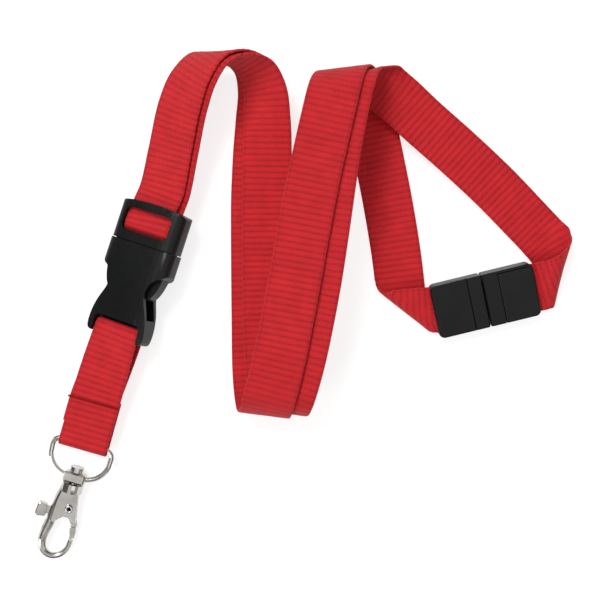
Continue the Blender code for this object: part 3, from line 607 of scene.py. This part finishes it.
WEBBING = webbing_material()
PLASTIC = plastic_material()
NICKEL = metal_material("nickel", (0.47, 0.45, 0.42), (0.61, 0.585, 0.55), 0.07)
STEEL = metal_material("spring_steel", (0.40, 0.40, 0.41), (0.55, 0.55, 0.56), 0.28)
# Near-black metal for the rivet's bore: painted shade of the hollow
BORE_SHADE = metal_material("bore_painted_shade", (0.015, 0.015, 0.016), (0.04, 0.038, 0.036), 0.5)
THREAD = thread_material()

# ------------------------------------------------------------------- pieces


def webbing_pieces():
    """The neck webbing in two pieces and the short strap; the first neck piece and the short strap go on
    their bodies, the band stays unparented.
    """
    stations, seam = neck_stations()
    samples = smooth(stations, ROW_STEP)
    cut = next(i for i, sample in enumerate(samples) if sample[2] >= seam)
    neck, length = ribbon("neck_webbing", samples[: cut + 1], WEBBING)
    band, total = ribbon("neck_webbing_band", samples[cut:], WEBBING, length)
    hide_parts("neck_strap")
    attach(neck, "lanyard")
    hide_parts("neck_strap_end")
    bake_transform(band)
    samples = smooth(short_stations(), ROW_STEP)
    short, short_length = ribbon("short_webbing", samples, WEBBING)
    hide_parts("short_strap")
    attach(short, "socket")


# Radius and height down a section of the gate's rivet, from the floor of its bore outwards
RIVET_SIDES = 32
RIVET_BORE = [(0.62, 1.4), (0.66, 3.0)]
RIVET_SKIN = [(0.8, 3.22), (1.1, 3.35), (1.42, 3.26), (1.64, 3.06), (1.7, 2.95), (1.1, 2.9), (1.1, -2.9)]
RIVET_SKIN += [(1.7, -2.95), (1.62, -3.18), (1.3, -3.32)]


def rivet():
    """Semi-tubular rivet of the gate, its rim rolled over round an open bore."""
    sides = RIVET_SIDES
    rows = RIVET_BORE + RIVET_SKIN
    points = []
    for radius, height in rows:
        for k in range(sides):
            turn = 2.0 * math.pi * k / sides
            x = PIN_AT[0] + radius * math.cos(turn)
            y = PIN_AT[1] + radius * math.sin(turn)
            points.append(Vector((x, y, height)))
    faces = []
    for i in range(len(rows) - 1):
        for k in range(sides):
            j = (k + 1) % sides
            faces.append((i * sides + j, i * sides + k, (i + 1) * sides + k, (i + 1) * sides + j))
    faces.append(tuple(range(sides)))
    last = (len(rows) - 1) * sides
    faces.append(tuple(range(last + sides - 1, last - 1, -1)))
    mesh = bpy.data.meshes.new("gate_rivet")
    mesh.from_pydata([(HOOK @ point - OUTLINE_MIDDLE) * MM for point in points], [], faces)
    mesh.materials.append(STEEL)
    mesh.materials.append(BORE_SHADE)
    mesh.shade_smooth()
    # The bore's wall and floor get the painted shade material
    bore_wall = (len(RIVET_BORE) - 1) * sides
    bore_floor = len(faces) - 2
    for face in mesh.polygons:
        if face.index < bore_wall or face.index == bore_floor:
            face.material_index = 1
    made = add_object("gate_rivet", mesh)
    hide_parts("gate_pin")
    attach(made, "hook")


WELD_DISTANCE = 0.000005
FLAT_WITHIN = math.radians(1.0)
SHARP_FROM = math.radians(32.0)


def dress(node, finish, edge=0.0):
    """Gives a CAD node its material, and soft edges where edge is more than 0 mm."""
    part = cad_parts[node]
    part.data.materials.clear()
    part.data.materials.append(finish)
    if edge > 0.0:
        weld = part.modifiers.new("Weld", "WELD")
        weld.merge_threshold = WELD_DISTANCE
        flat = part.modifiers.new("Flat faces", "DECIMATE")
        flat.decimate_type = "DISSOLVE"
        flat.angle_limit = FLAT_WITHIN
        soft = part.modifiers.new("Soft edges", "BEVEL")
        soft.width = edge * MM
        soft.segments = 2
        soft.limit_method = "ANGLE"
        soft.angle_limit = SHARP_FROM


BUCKLE_EDGE = 0.35
BREAKAWAY_EDGE = 0.2
CLASP_EDGE = 0.15

webbing_pieces()
for node in ("plug_body", "plug_prong_left", "plug_prong_right", "socket_body"):
    dress(node, PLASTIC, BUCKLE_EDGE)
for node in ("breakaway_socket", "breakaway_socket_cover", "breakaway_plug", "breakaway_plug_cover"):
    dress(node, PLASTIC, BREAKAWAY_EDGE)
for node in ("clasp_ring", "hook_body", "hook_gate"):
    dress(node, NICKEL, CLASP_EDGE)
rivet()
dress("gate_spring", STEEL)
dress("short_strap_stitching", THREAD)

# ------------------------------------------------------------------- studio

FLOOR_REACH = 30.0
FLOOR_DEPTH = 0.0001
FLOOR_TONES = [(0.0, (0.32, 0.32, 0.32)), (1.0, (0.35, 0.35, 0.35))]
FLOOR_GLOW = 0.76

# Name, place, side and power of each soft light, in metres and watts
LIGHTS = [
    ("key", (-0.5, 0.8, 1.4), 0.6, 18.0),
    ("fill", (0.9, -0.5, 1.3), 1.2, 3.0),
    ("side", (-0.9, -0.8, 1.0), 0.7, 7.0),
]

# How bright the surroundings are, by the sine of the height above the horizon
SKY = [(0.0, 0.1), (0.18, 0.08), (0.27, 0.6), (0.42, 0.6)]
SKY += [(0.5, 0.14), (0.66, 0.14), (0.8, 0.5), (0.95, 1.0)]
SKY_STRENGTH = 0.9


def pale_floor():
    """Plain floor just under the lanyard, glowing enough to look white."""
    mesh = bpy.data.meshes.new("floor")
    corners = [(x * FLOOR_REACH, y * FLOOR_REACH, 0.0) for x, y in ((-1, -1), (1, -1), (1, 1), (-1, 1))]
    mesh.from_pydata(corners, [], [(0, 1, 2, 3)])
    floor = add_object("floor", mesh)
    floor.location = (0.0, 0.0, -FLOOR_DEPTH)
    n = Nodes("floor", Roughness=0.9)
    n.shader.inputs["Specular IOR Level"].default_value = 0.1
    tone = n.noise(n.position(), 4.0, 2.0)
    n.put(n.shader.inputs["Base Color"], n.ramp(tone, FLOOR_TONES))
    n.shader.inputs["Emission Color"].default_value = (1.0, 1.0, 1.0, 1.0)
    n.shader.inputs["Emission Strength"].default_value = FLOOR_GLOW
    mesh.materials.append(n.material)


def soft_lights():
    """Area lights round the lanyard, each aimed at its middle."""
    for name, at, size, power in LIGHTS:
        data = bpy.data.lights.new(name, "AREA")
        data.size = size
        data.energy = power
        lamp = add_object(name, data)
        lamp.location = at
        lamp.rotation_euler = (-Vector(at)).to_track_quat("-Z", "Y").to_euler()


def surroundings():
    """Grey surroundings whose brightness depends only on the height above the horizon."""
    world = bpy.data.worlds.new("studio")
    bpy.context.scene.world = world
    world.use_nodes = True
    tree = world.node_tree
    background = tree.nodes["Background"]
    where = tree.nodes.new("ShaderNodeTexCoord")
    split = tree.nodes.new("ShaderNodeSeparateXYZ")
    ramp = tree.nodes.new("ShaderNodeValToRGB")
    tree.links.new(where.outputs["Generated"], split.inputs[0])
    tree.links.new(split.outputs["Z"], ramp.inputs["Fac"])
    tree.links.new(ramp.outputs["Color"], background.inputs["Color"])
    fill_ramp(ramp.color_ramp, [(height, (tone, tone, tone)) for height, tone in SKY])
    background.inputs["Strength"].default_value = SKY_STRENGTH


pale_floor()
soft_lights()
surroundings()
